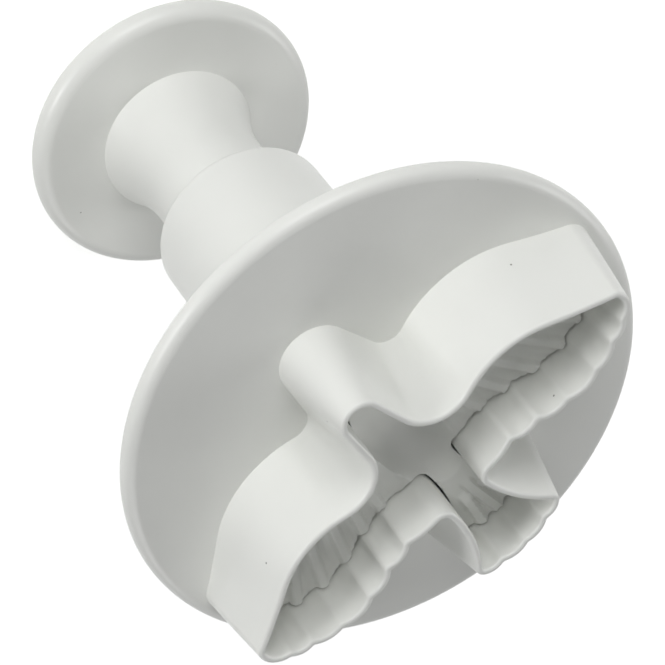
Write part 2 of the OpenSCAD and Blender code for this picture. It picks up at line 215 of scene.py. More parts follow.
@dataclass(frozen=True)
class BirdOutline:
    """Plan of the flying bird, in arcs placed by shares of its wing span."""

    # Millimetres
    span: float = 60.5
    notch_round: float = 0.4
    notch_least: float = 0.1
    least_round: float = 0.15
    # How much of the outline's growth comes off the roundings of the notches
    notch_follow: float = 0.5
    # Shares of the span, with lead_turn in degrees
    head: complex = -0.2455j
    head_round: float = 0.0463
    waist: complex = 0.1355 - 0.1785j
    shoulder: complex = 0.2446 + 0.0926j
    shoulder_round: float = 0.2116
    lead_round: float = 2.0
    lead_turn: float = -56.5
    tip_round: float = 0.0215
    notches: tuple[complex, ...] = (
        0.5025 + 0.0223j, 0.4661 + 0.0702j, 0.4207 + 0.0926j, 0.357 + 0.1182j,
        0.2739 + 0.1182j, 0.2066 + 0.0967j, 0.1438 + 0.0843j, 0.0595 + 0.095j,
    )
    bulges: tuple[float, ...] = (0.0099, 0.0083, 0.0099, 0.014, 0.0116, 0.0107, 0.0066)
    crotch_round: float = 0.02
    tail_side: complex = 0.3562 + 0.1054j
    tail_side_round: float = 0.3025
    tail_tip_round: float = 0.0215
    tail_notches: tuple[complex, ...] = (0.1125 + 0.295j, 0.061 + 0.3168j, 0.327j)
    tail_bulges: tuple[float, ...] = (0.0105, 0.0091)
    # Straight steps in each arc
    head_steps: int = 12
    waist_steps: int = 14
    shoulder_steps: int = 14
    lead_steps: int = 6
    tip_steps: int = 7
    feather_steps: int = 8
    notch_steps: int = 4
    crotch_steps: int = 6
    side_steps: int = 9
    tail_tip_steps: int = 6

    def lobes(self, notches: Sequence[complex], bulges: Sequence[float]) -> list[Circle]:
        """Finds the circles of the feather tips between neighbouring notches.

        Args:
            notches: Notches in order, as shares of the span.
            bulges: How far each feather tip rises over its two notches.

        Returns:
            Centre and radius of each feather tip.
        """
        found = []
        for p, q, bulge in zip(notches, notches[1:], bulges):
            p, q, bulge = p * self.span, q * self.span, bulge * self.span
            radius = (abs(q - p) ** 2 / 4 + bulge**2) / (2 * bulge)
            found.append(((p + q) / 2 + (radius - bulge) * 1j * (q - p) / abs(q - p), radius))
        return found

    def notch_size(self, grow: float) -> float:
        """Rounding of a notch, which is wider inside the wall than outside it."""
        return max(self.notch_round - self.notch_follow * grow, self.notch_least)

    def scallops(
        self, lobes: Sequence[Circle], start: float, end: float, small: float
    ) -> Profile:
        """Draws a row of feather tips with a small round in each notch.

        Args:
            lobes: Centre and grown radius of each feather tip.
            start: Turn at which the first one starts, in degrees.
            end: Turn at which the last one ends.
            small: Rounding of each notch.

        Returns:
            The points after the first one.
        """
        points: Profile = []
        for i, (centre, radius) in enumerate(lobes):
            stop = end
            if i + 1 < len(lobes):
                other, other_radius = lobes[i + 1]
                notch = meet(centre, radius + small, other, other_radius + small, -1)
                stop = heading(notch - centre)
            points += arc(centre, radius, start, stop, self.feather_steps)
            if i + 1 < len(lobes):
                start = heading(notch - other)
                points += arc(notch, small, stop + 180, start + 180, self.notch_steps)
        return points

    def whole(
        self, grow: float, head_cut: float = 0, tip_cut: float = 0, turn: float | None = None
    ) -> Profile:
        """Draws the bird from the head round one wing to the tail, and back as its mirror image.

        Args:
            grow: How far the outline lies outside the cutting edge's outline.
            head_cut: How much less it grows round the head.
            tip_cut: How much less it grows round the wing tips.
            turn: Turn at which the shoulders' curves end in degrees, or None for the edge's.

        Returns:
            The points of the closed outline.
        """
        turn = self.lead_turn if turn is None else turn
        u, low = self.span, self.notch_size(grow)
        head, waist, shoulder = self.head * u, self.waist * u, self.shoulder * u
        head_r = self.head_round * u + grow - head_cut
        shoulder_r, lead_r = self.shoulder_round * u, self.lead_round * u
        tip_r = self.tip_round * u
        waist_r = abs(shoulder - waist) - shoulder_r
        reach = (head_r + waist_r - grow) / abs(waist - head)
        leave = heading(waist - head) - math.degrees(math.acos(reach))
        shoulder_turn = heading(shoulder - waist)
        lead = shoulder + polar(shoulder_r + lead_r, turn)
        feathers = self.lobes(self.notches, self.bulges)
        first, first_r = feathers[0]
        tip = meet(lead, lead_r + tip_r - tip_cut, first, first_r - tip_r, -1)
        grown = [(c, r + grow - (0 if i else tip_cut)) for i, (c, r) in enumerate(feathers)]
        side, side_r = self.tail_side * u, self.tail_side_round * u
        crotch_r = max(self.crotch_round * u - grow, self.least_round)
        last, last_r = grown[-1]
        crotch = meet(last, last_r + crotch_r, side, side_r - grow - crotch_r, 1)
        tail = self.lobes(self.tail_notches, self.tail_bulges)
        tail_tip_r = self.tail_tip_round * u
        tail_tip = meet(side, side_r + tail_tip_r, tail[0][0], tail[0][1] - tail_tip_r, -1)
        tail_grown = [(c, r + grow) for c, r in tail]
        end, end_r = tail_grown[-1]
        middle = 1j * (end.imag + math.sqrt((end_r + low) ** 2 - end.real**2))
        tip_from, tip_to = heading(lead - tip), heading(tip - first)
        tail_to = heading(tail_tip - tail[0][0])
        crotch_in, crotch_out = heading(crotch - last), heading(side - crotch) + 180
        half = [
            head - 1j * head_r,
            *arc(head, head_r, -90, leave, self.head_steps),
            *arc(waist, waist_r - grow, leave + 180, shoulder_turn, self.waist_steps),
            *arc(shoulder, shoulder_r + grow, shoulder_turn - 180, turn, self.shoulder_steps),
            *arc(lead, lead_r - grow, turn + 180, heading(tip - lead), self.lead_steps),
            *arc(tip, tip_r + grow - tip_cut, tip_from, tip_to, self.tip_steps),
            *self.scallops(grown, tip_to, crotch_in, low),
            *arc(crotch, crotch_r, crotch_in + 180, crotch_out, self.crotch_steps),
            *arc(side, side_r - grow, crotch_out, heading(tail_tip - side), self.side_steps),
            *arc(
                tail_tip, tail_tip_r + grow, heading(side - tail_tip), tail_to, self.tail_tip_steps
            ),
            *self.scallops(tail_grown, tail_to, heading(middle - end), low),
            *arc(middle, low, heading(end - middle), -90, self.notch_steps // 2),
        ]
        return half + [-p.conjugate() for p in half[-2:0:-1]]


# Modelling


def clear_selection() -> None:
    """Leaves nothing selected, so that an operator acts on one piece alone."""
    bpy.ops.object.select_all(action="DESELECT")


def open_ring(name: str, ring: Ring) -> Object:
    """Adds a circle primitive of the ring's reach and lays its corners on the ring.

    Args:
        name: Name of the new piece.
        ring: Corners in metres.

    Returns:
        The piece, in edit mode and selected all over.
    """
    clear_selection()
    reach = max(math.hypot(x, y) for x, y, _ in ring)
    bpy.ops.mesh.primitive_circle_add(
        vertices=len(ring), radius=reach, location=(0, 0, 0), enter_editmode=True
    )
    piece = bpy.context.object
    piece.name = piece.data.name = name
    mesh = bmesh.from_edit_mesh(piece.data)
    place = mesh.verts.layers.int.new(PLACE)
    mesh.verts.ensure_lookup_table()
    for number, corner in enumerate(mesh.verts):
        corner[place] = number
        corner.co = ring[number]
    bmesh.update_edit_mesh(piece.data)
    bpy.ops.mesh.select_all(action="SELECT")
    return piece


def pick(piece: Object, test: Callable[[bmesh.types.BMVert], bool]) -> None:
    """Selects the corners that pass a test, and the edges between them.

    Args:
        piece: The piece in edit mode.
        test: Says whether a corner is picked.
    """
    bpy.ops.mesh.select_mode(type="VERT")
    bpy.ops.mesh.select_all(action="DESELECT")
    mesh = bmesh.from_edit_mesh(piece.data)
    for corner in mesh.verts:
        corner.select = test(corner)
    mesh.select_flush(True)
    bmesh.update_edit_mesh(piece.data)


def finish_mesh() -> None:
    """Turns all faces of the mesh outwards and leaves edit mode."""
    bpy.ops.mesh.select_all(action="SELECT")
    bpy.ops.mesh.normals_make_consistent(inside=False)
    bpy.ops.object.mode_set(mode="OBJECT")


def draw_out(name: str, rings: Sequence[Ring], ends: Ends) -> Object:
    """Extrudes a first ring through all the others.

    Args:
        name: Name of the new piece.
        rings: Rings with the same number of corners.
        ends: What closes the skin.

    Returns:
        The piece, in object mode.
    """
    piece = open_ring(name, rings[0])
    for ring in rings[1:]:
        bpy.ops.mesh.extrude_region()
        mesh = bmesh.from_edit_mesh(piece.data)
        place = mesh.verts.layers.int[PLACE]
        for corner in mesh.verts:
            if corner.select:
                corner.co = ring[corner[place]]
        bmesh.update_edit_mesh(piece.data)
    if ends is Ends.JOINED:
        pick(piece, lambda corner: corner.is_boundary)
        bpy.ops.mesh.bridge_edge_loops()
    else:
        count = len(rings[0])
        for block in (range(count), range((len(rings) - 1) * count, len(rings) * count)):
            pick(piece, lambda corner, block=block: corner.index in block)
            bpy.ops.mesh.edge_face_add()
    finish_mesh()
    return piece


def revolve(
    name: str, corners: Sequence[Triple], closed: bool = True, steps: int = WIDE_TURN
) -> Object:
    """Spins a rounded profile round the plunger's axis.

    Args:
        name: Name of the new piece.
        corners: Radius, height and rounding of each corner, in millimetres.
        closed: Whether the last corner runs on to the first.
        steps: Steps in the full turn.

    Returns:
        The piece, in object mode.
    """
    profile = rounded(corners, closed)
    piece = open_ring(name, [(p.real * MM, 0, p.imag * MM) for p in profile])
    if not closed:
        last = len(profile) - 1
        pick(piece, lambda corner: corner.index in (0, last))
        bpy.ops.mesh.delete(type="EDGE_FACE")
        bpy.ops.mesh.select_all(action="SELECT")
    bpy.ops.mesh.spin(steps=steps, angle=2 * math.pi, center=(0, 0, 0), axis=(0, 0, 1))
    bpy.ops.mesh.select_all(action="SELECT")
    bpy.ops.mesh.remove_doubles(threshold=WELD * MM)
    finish_mesh()
    return piece


def disc(name: str, radius: float, low: float, high: float, edge: float = 0) -> Object:
    """Turns a solid disc from its low to its high face, with its low edge rounded."""
    corners = [(0.0, low, 0), (radius, low, edge), (radius, high, 0), (0.0, high, 0)]
    return revolve(name, corners, closed=False, steps=NARROW_TURN)


def cut(piece: Object, tool: Object, operation: Cut) -> None:
    """Applies a Boolean modifier and removes its tool.

    Args:
        piece: The piece that changes.
        tool: The other solid.
        operation: What happens to the piece.
    """
    clear_selection()
    piece.select_set(True)
    bpy.context.view_layer.objects.active = piece
    modifier = piece.modifiers.new(name=operation.value.title(), type="BOOLEAN")
    modifier.operation, modifier.object, modifier.solver = operation.value, tool, "EXACT"
    bpy.ops.object.modifier_apply(modifier=modifier.name)
    bpy.data.objects.remove(tool)


def smooth(piece: Object, angle: float = CREASE) -> None:
    """Shades a piece smooth up to an angle, with its large faces kept flat.

    Args:
        piece: The piece.
        angle: Least angle of an edge that stays sharp, in degrees.
    """
    clear_selection()
    piece.select_set(True)
    bpy.context.view_layer.objects.active = piece
    if PLACE in piece.data.attributes:
        piece.data.attributes.remove(piece.data.attributes[PLACE])
    bpy.ops.object.shade_smooth_by_angle(angle=math.radians(angle))
    modifier = piece.modifiers.new(name="Weighted normals", type="WEIGHTED_NORMAL")
    modifier.keep_sharp = True
    bpy.ops.object.modifier_apply(modifier=modifier.name)


def seat(piece: Object, node: str, body: str, finish: Material) -> None:
    """Gives a finished piece its material and its body, and hides the CAD node it stands for.

    Args:
        piece: The piece, in place.
        node: The CAD node that it replaces, which is hidden.
        body: The CAD body that carries it.
        finish: Its material.
    """
    piece.data.materials.clear()
    piece.data.materials.append(finish)
    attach(piece, body)
    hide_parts(node)
    log.info("%s: %d faces on %s", piece.name, len(piece.data.polygons), body)


# Finishes


def linear(colour: str) -> Colour:
    """Turns an sRGB colour to linear light.

    Args:
        colour: Hex colour, such as "#EFF0EC".

    Returns:
        Linear red, green and blue, and an alpha of 1.
    """
    parts = [int(colour[i : i + 2], 16) / 255 for i in (1, 3, 5)]
    red, green, blue = (
        c / 12.92 if c <= 0.04045 else ((c + 0.055) / 1.055) ** 2.4 for c in parts
    )
    return red, green, blue, 1.0


def add_node(
    tree: NodeTree, kind: str, inputs: dict[str | int, Any] | None = None, **settings: Any
) -> Node:
    """Adds a node with its settings, socket values and links.

    Args:
        tree: Node tree that gets the node.
        kind: Blender's name of the node type, after its ShaderNode.
        inputs: Value or output socket for each input, by its name or number.
        **settings: The node's own settings.

    Returns:
        The node.
    """
    node = tree.nodes.new("ShaderNode" + kind)
    for name, value in settings.items():
        setattr(node, name, value)
    for socket, value in (inputs or {}).items():
        if isinstance(value, NodeSocket):
            tree.links.new(value, node.inputs[socket])
        else:
            node.inputs[socket].default_value = value
    return node


def empty_tree(owner: Material | World) -> NodeTree:
    """Turns on the nodes of a material or world.

    Args:
        owner: The new material or world.

    Returns:
        Its node tree, with nothing in it.
    """
    owner.use_nodes = True
    owner.node_tree.nodes.clear()
    return owner.node_tree


def per_metre(size: float) -> float:
    """Scale of a pattern whose marks are that many millimetres apart."""
    return 1 / (size * MM)


def noise(tree: NodeTree, place: NodeSocket, scale: float, **inputs: float) -> NodeSocket:
    """Adds a noise of a scale, with its other inputs, and gives its value."""
    values = {"Vector": place, "Scale": scale, **inputs}
    return add_node(tree, "TexNoise", values).outputs["Fac"]


def relief(tree: NodeTree, height: NodeSocket, depth: float, **inputs: Any) -> NodeSocket:
    """Adds a bump of a depth in millimetres, with its other inputs, and gives its normal."""
    values = {"Height": height, "Strength": 1.0, "Distance": depth * MM, **inputs}
    return add_node(tree, "Bump", values).outputs["Normal"]


def blend(tree: NodeTree, share: NodeSocket, a: NodeSocket | Colour, b: Colour) -> NodeSocket:
    """Mixes two colours, which are sockets 6 and 7 of the node, and gives its output 2."""
    return add_node(tree, "Mix", {0: share, 6: a, 7: b}, data_type="RGBA").outputs[2]


def remap(tree: NodeTree, value: NodeSocket, old: Pair, new: Pair, **settings: Any) -> NodeSocket:
    """Maps a value from an old range to a new one, and gives the result."""
    ends = {"From Min": old[0], "From Max": old[1], "To Min": new[0], "To Max": new[1]}
    return add_node(tree, "MapRange", {"Value": value, **ends}, **settings).outputs["Result"]


@dataclass(frozen=True)
class MouldedPlastic:
    """White ABS, injection moulded in a fine spark-eroded tool.

    The eye gets an even, faintly warm white with a satin sheen. The tool's grain
    breaks the highlights into a fine sparkle, the melt's flow leaves slow waves
    in the gloss, and a few dark grains of burnt resin lie in the skin.
    """

    name: str = "moulded_abs"
    colour: str = "#EFF0EC"
    flow_colour: str = "#EAEBE7"
    flow: float = 14.0
    gloss: Pair = (0.3, 0.4)
    gloss_patch: float = 2.4
    # Real grain is about 0.05 mm: drawn at 0.3 mm so that it shows
    grain: float = 0.3
    grain_depth: float = 0.0045
    wave: float = 7.0
    wave_depth: float = 0.02
    speck_colour: str = "#8A8984"
    speck_gap: float = 7.0
    speck: float = 0.16
    speck_core: float = 0.6
    # Refraction of ABS, and the little light that goes in under its skin
    refraction: float = 1.53
    depth_share: float = 0.12
    depth: float = 0.6

    def material(self) -> Material:
        """Builds the material.

        Returns:
            The plastic, patterned by each piece's own Object coordinates.
        """
        made = bpy.data.materials.new(self.name)
        tree = empty_tree(made)
        place = add_node(tree, "TexCoord").outputs["Object"]
        flow = noise(tree, place, per_metre(self.flow), Detail=2.0, Distortion=0.6)
        tone = blend(tree, flow, linear(self.colour), linear(self.flow_colour))
        specks = add_node(
            tree, "TexVoronoi",
            {"Vector": place, "Scale": per_metre(self.speck_gap), "Randomness": 1.0},
        )
        rim = self.speck / self.speck_gap
        dark = remap(
            tree, specks.outputs["Distance"], (self.speck_core * rim, rim), (1.0, 0.0),
            interpolation_type="SMOOTHSTEP",
        )
        patches = noise(tree, place, per_metre(self.gloss_patch), Detail=3.0)
        waves = noise(tree, place, per_metre(self.wave), Detail=1.0)
        slow = relief(tree, waves, self.wave_depth)
        grain = noise(tree, place, per_metre(self.grain), Detail=2.0, Roughness=0.6)
        shader = add_node(
            tree, "BsdfPrincipled",
            {
                "Base Color": blend(tree, dark, tone, linear(self.speck_colour)),
                "Roughness": remap(tree, patches, NOISE_RANGE, self.gloss),
                "Normal": relief(tree, grain, self.grain_depth, Normal=slow),
                "IOR": self.refraction,
                "Subsurface Weight": self.depth_share,
                "Subsurface Radius": (1.0, 1.0, 1.0),
                "Subsurface Scale": self.depth * MM,
            },
        )
        add_node(tree, "OutputMaterial", {"Surface": shader.outputs["BSDF"]})
        return made


@dataclass(frozen=True)
class Metal:
    """Bare or plated steel.

    Drawn spring wire is grey and shiny with fine lines along the wire, and a
    zinc plate is paler, with a faint cloudy bloom. The marks are counted per
    metre, or along the sides of the wire's own map.
    """

    name: str
    lay: Lay
    colour: str
    bloom_colour: str
    gloss: Pair
    marks: Triple
    mark_depth: float

    def material(self) -> Material:
        """Builds the material.

        Returns:
            The metal, with one noise for its tone, gloss and relief.
        """
        made = bpy.data.materials.new(self.name)
        tree = empty_tree(made)
        source = "UV" if self.lay is Lay.DRAWN else "Object"
        place = add_node(tree, "TexCoord").outputs[source]
        spread = add_node(tree, "Mapping", {"Vector": place, "Scale": self.marks})
        marks = noise(tree, spread.outputs["Vector"], 1.0, Detail=4.0, Roughness=0.6)
        shader = add_node(
            tree, "BsdfPrincipled",
            {
                "Base Color": blend(tree, marks, linear(self.colour), linear(self.bloom_colour)),
                "Roughness": remap(tree, marks, (0.0, 1.0), self.gloss),
                "Normal": relief(tree, marks, self.mark_depth),
                "Metallic": 1.0,
            },
        )
        add_node(tree, "OutputMaterial", {"Surface": shader.outputs["BSDF"]})
        return made


# The wire's map runs once round it and once along it, so its marks are long lines
SPRING_STEEL = Metal(
    name="drawn_spring_steel", lay=Lay.DRAWN, colour="#B9BBBF", bloom_colour="#A6A8AD",
    gloss=(0.18, 0.34), marks=(24.0, 3.0, 1.0), mark_depth=0.004,
)
ZINC_PLATE = Metal(
    name="zinc_plated_steel", lay=Lay.PLATED, colour="#C9CDD2", bloom_colour="#B7BCC4",
    gloss=(0.26, 0.42), marks=(per_metre(0.8),) * 3, mark_depth=0.003,
)


# Sub-assemblies


@dataclass
class CutterHead:
    """Flange with the bird's cutting wall in front, and the barrel bonded behind it."""

    plastic: Material
    bird: BirdOutline = field(default_factory=BirdOutline)
    flange_z: float = 65.0
    face_z: float = 68.0
    edge_z: float = 80.8
    flange_r: float = 34.0
    wall_t: float = 0.8
    wall_draft: float = 2.4
    head_foot_cut: float = 0.4
    tip_foot_cut: float = 0.75
    foot_turn: float = -49.0
    lip_round: float = 0.36
    root: float = 0.3
    spigot_r: float = 9.75
    spigot_in_r: float = 7.25
    boss_r: float = 5.05
    boss_bore_r: float = 4.05
    boss_z: float = 61.0
    barrel_r: float = 11.8
    barrel_bore_r: float = 9.8
    land_r: float = 8.21
    land_z: float = 31.0
    barrel_z: float = 25.0
    barrel_round: float = 1.0
    foot_round: float = 0.15
    seam_round: float = 0.12
    # Rings of the wall: shares up to the lip outside, heights over the face inside
    outer_shares: tuple[float, ...] = (0.0, 0.03, 0.2, 0.4, 0.6, 0.8, 1.0)
    inner_heights: tuple[float, ...] = (6.0, 0.3)
    lip_band: float = 0.3
    lip_turns: tuple[int, ...] = (15, 30, 45, 60, 75, 90)
    steps: int = 200
    crease: float = 32.0

    def lip_point(self, turned: float) -> Pair:
        """How far in and up a turn round the lip leads from its side, in millimetres."""
        turned = math.radians(turned)
        return self.lip_round * (1 - math.cos(turned)), self.lip_round * math.sin(turned)

    def wall_rings(self) -> list[Ring]:
        """Draws the cutting wall.

        Returns:
            Rings up its drafted outside, over the round lip and down its inside.
        """
        height = self.edge_z - self.face_z
        floor, top = self.face_z - self.root, self.edge_z - self.lip_round
        rings = [self.outer_ring(floor, 0.0)]
        for share in self.outer_shares:
            z = self.face_z + share * (top - self.face_z)
            rings.append(self.outer_ring(z, (z - self.face_z) / height))
        lean = self.wall_draft * self.lip_round / height
        for turned in self.lip_turns:
            inward, rise = self.lip_point(turned)
            rings.append(lift(self.bird.whole(lean * (1 - turned / 90) - inward), top + rise))
        for turned in (*reversed(self.lip_turns), 0):
            inward, rise = self.lip_point(turned)
            rings.append(lift(self.bird.whole(inward - self.wall_t), top + rise))
        inside = self.bird.whole(-self.wall_t)
        low = [self.face_z + over for over in self.inner_heights]
        return rings + [lift(inside, z) for z in (top - self.lip_band, *low, floor)]

    def outer_ring(self, z: float, share: float) -> Ring:
        """Ring of the wall's outside.

        Args:
            z: Height of the ring.
            share: How far up the wall it lies, from 0 at the foot to 1 at the edge.

        Returns:
            The ring in metres.
        """
        left = 1 - share
        plan = self.bird.whole(
            grow=self.wall_draft * left,
            head_cut=self.head_foot_cut * left,
            tip_cut=self.tip_foot_cut * left,
            turn=self.bird.lead_turn + left * (self.foot_turn - self.bird.lead_turn),
        )
        return lift(plan, z)

    def build_body(self) -> None:
        """Builds the flange, spigot, boss and cutting wall as one skin."""
        rim = (self.face_z - self.flange_z) / 2 - HAIR
        corners = [
            (self.boss_bore_r, self.face_z, CRISP),
            (self.flange_r, self.face_z, rim),
            (self.flange_r, self.flange_z, rim),
            (self.spigot_r, self.flange_z, self.foot_round),
            (self.spigot_r, self.boss_z, SOFT),
            (self.spigot_in_r, self.boss_z, SOFT),
            (self.spigot_in_r, self.flange_z, SOFT),
            (self.boss_r, self.flange_z, SOFT),
            (self.boss_r, self.boss_z, EASED),
            (self.boss_bore_r, self.boss_z, EASED),
        ]
        body = revolve("cutter_body_moulding", corners, steps=self.steps)
        wall = draw_out("cutting_wall", self.wall_rings(), Ends.JOINED)
        cut(body, wall, Cut.UNION)
        smooth(body, self.crease)
        seat(body, "cutter_body", "cutter", self.plastic)

    def build_barrel(self) -> None:
        """Builds the tube with its guide land and its rounded rear rim."""
        corners = [
            (self.land_r, self.barrel_z, SOFT),
            (self.barrel_r, self.barrel_z, self.barrel_round),
            (self.barrel_r, self.flange_z, self.seam_round),
            (self.barrel_bore_r, self.flange_z, CRISP),
            (self.barrel_bore_r, self.land_z, EASED),
            (self.land_r, self.land_z, SOFT),
        ]
        barrel = revolve("barrel_tube", corners)
        smooth(barrel)
        seat(barrel, "barrel", "cutter", self.plastic)

    def build(self) -> None:
        """Builds and dresses both mouldings."""
        self.build_body()
        self.build_barrel()


@dataclass
class Embosser:
    """Plate on the stem's end that fills the bird's wall and prints its feathers."""

    plastic: Material
    bird: BirdOutline = field(default_factory=BirdOutline)
    inset: float = 1.1
    face_z: float = 73.8
    rear_z: float = 70.8
    hub_z: float = 68.1
    hub_r: float = 6.12
    socket_r: float = 4.05
    stem_top_z: float = 71.5
    hub_round: float = 0.25
    # Ribs: height, half widths of top and foot, and share of the length over which they rise
    rib_h: float = 0.75
    rib_flat: float = 0.5
    rib_foot: float = 0.95
    rib_fade: float = 0.25
    # Dish depth at which a rib that runs into it has died out
    rib_stop: float = 0.2
    # Fields between the ribs, scooped on the wings and the tail only
    scoop_depth: float = 0.3
    scoop_reach: float = 1.1
    scoop_from: float = 5.0
    tail_from: float = 11.0
    scoop_blend: float = 2.0
    rim_round: float = 0.2
    cell: float = 0.25
    block_t: float = 8.0
    # How far the cutting tools reach past the plate, and the hub into it
    past: float = 1.0
    hub_overlap: float = 0.5
    crease: float = 40.0
    # Depth of the CAD's dish, and how many times as deep it is here
    dish_depth: float = 1.25
    dish_deepening: float = 1.5
    dish_rim_h: float = 0.2
    dish_rim_w: float = 0.25
    # Shares of the span
    dish_axis: float = 0.1116
    dish_front: float = 0.3
    dish_front_sag: float = 0.0116
    dish_rear: float = 0.157
    ribs: tuple[tuple[complex, complex], ...] = (
        (0.106 - 0.1j, 0.1425 + 0.073j), (0.1405 - 0.1j, 0.204 + 0.09j),
        (0.1835 - 0.11j, 0.271 + 0.11j), (0.236 - 0.11j, 0.338 + 0.107j),
        (0.26 - 0.11j, 0.397 + 0.085j), (0.0225 + 0.205j, 0.0445 + 0.31j),
        (0.175j, 0.325j),
    )

    def rib_rise(self, spots: np.ndarray) -> np.ndarray:
        """Finds the height of the feather ribs, less the depth of the fields between them.

        Args:
            spots: Places over the plate as complex numbers, in millimetres.

        Returns:
            The height over the plate's face at each place.
        """
        x, y = np.abs(spots.real), spots.imag
        nearest, rise = np.full(x.shape, np.inf), np.zeros(x.shape)
        for start, end in self.ribs:
            near, gap = beside(x + 1j * y, start * self.bird.span, end * self.bird.span)
            side = ease((self.rib_foot - gap) / (self.rib_foot - self.rib_flat))
            rise = np.maximum(rise, self.rib_h * side * ease(near / self.rib_fade))
            nearest = np.minimum(nearest, gap)
        on_wing = ease((x - self.scoop_from) / self.scoop_blend)
        on_tail = ease((y - self.tail_from) / self.scoop_blend)
        scoop = self.scoop_depth * ease((nearest - self.rib_foot) / self.scoop_reach)
        return rise - scoop * np.maximum(on_wing, on_tail)

    def dish_fall(self, spots: np.ndarray) -> np.ndarray:
        """Finds the depth of the dish that forms the bird's body, less the low rim at its sides.

        Args:
            spots: Places over the plate as complex numbers, in millimetres.

        Returns:
            The depth under the plate's face at each place.
        """
        x, y, span = spots.real, spots.imag, self.bird.span
        axis = self.dish_axis * span
        widest = axis + self.dish_depth
        front, rear = self.dish_front * span, self.dish_rear * span
        sag = self.dish_front_sag * span
        front_r = (front**2 + sag**2) / (2 * sag)
        rear_r = (rear**2 + self.dish_depth**2) / (2 * self.dish_depth)
        bow = np.where(y < 0, front_r, rear_r)
        radius = widest - bow + np.sqrt(np.clip(bow**2 - y**2, 0, None))
        radius = np.where((y < -front) | (y > rear), 0, radius)
        inside = np.sqrt(np.clip(radius**2 - x**2, 0, None)) - axis
        ahead = ease((rear - y) / rear)
        rim = self.dish_rim_h * np.exp(-((inside / self.dish_rim_w) ** 2)) * ahead
        return self.dish_deepening * np.clip(inside, 0, None) - rim

    def rim_fall(self, spots: np.ndarray) -> np.ndarray:
        """Finds the fall of the plate's rounded rim from each place's distance to the outline.

        Args:
            spots: Places over the plate as complex numbers, in millimetres.

        Returns:
            The fall at each place, which is 0 away from the rim.
        """
        rim = np.array(self.bird.whole(-self.inset))
        nearest = np.full(spots.shape, np.inf)
        for a, b in zip(rim, np.roll(rim, -1)):
            nearest = np.minimum(nearest, beside(spots, a, b)[1])
        short = np.clip(self.rim_round - nearest, 0, self.rim_round)
        return self.rim_round - np.sqrt(self.rim_round**2 - short**2)

    def build_relief(self) -> Object:
        """Builds a block whose top is the embossed face, wider than the bird.

        Returns:
            The block, in object mode.
        """
        plan = self.bird.whole(-self.inset)
        border = 2 * self.cell
        half_x = max(p.real for p in plan) + border
        low, high = min(p.imag for p in plan), max(p.imag for p in plan)
        half_y = (high - low) / 2 + border
        centre = (0, (low + high) / 2 * MM, self.face_z * MM)
        clear_selection()
        bpy.ops.mesh.primitive_grid_add(
            x_subdivisions=round(2 * half_x / self.cell),
            y_subdivisions=round(2 * half_y / self.cell),
            size=2 * MM,
            location=centre,
            enter_editmode=True,
        )
        block = bpy.context.object
        block.name = block.data.name = "embosser_plate_moulding"
        bpy.ops.transform.resize(value=(half_x, half_y, 1), center_override=centre)
        bpy.ops.object.mode_set(mode="OBJECT")
        bpy.ops.object.transform_apply(location=True, rotation=True, scale=True)
        places = np.array([v.co for v in block.data.vertices])
        spots = places[:, 0] / MM + 1j * (places[:, 1] / MM)
        fall = self.dish_fall(spots)
        left = np.clip(1 - fall / self.rib_stop, 0, 1)
        places[:, 2] += (self.rib_rise(spots) * left - fall - self.rim_fall(spots)) * MM
        block.data.vertices.foreach_set("co", places.astype(np.float32).ravel())
        bpy.ops.object.mode_set(mode="EDIT")
        bpy.ops.mesh.select_all(action="SELECT")
        bpy.ops.mesh.extrude_region_move(
            TRANSFORM_OT_translate={"value": (0, 0, -self.block_t * MM)}
        )
        finish_mesh()
        return block

    def build(self) -> None:
        """Builds and dresses the plate with its hub."""
        plate = self.build_relief()
        plan = self.bird.whole(-self.inset)
        rings = [lift(plan, self.rear_z), lift(plan, self.face_z + self.past)]
        cut(plate, draw_out("plate_edge", rings, Ends.CAPPED), Cut.INTERSECT)
        hub_top = self.rear_z + self.hub_overlap
        cut(plate, disc("hub", self.hub_r, self.hub_z, hub_top, self.hub_round), Cut.UNION)
        below = self.hub_z - self.past
        cut(plate, disc("socket", self.socket_r, below, self.stem_top_z), Cut.DIFFERENCE)
        smooth(plate, self.crease)
        seat(plate, "embosser_plate", "plunger", self.plastic)


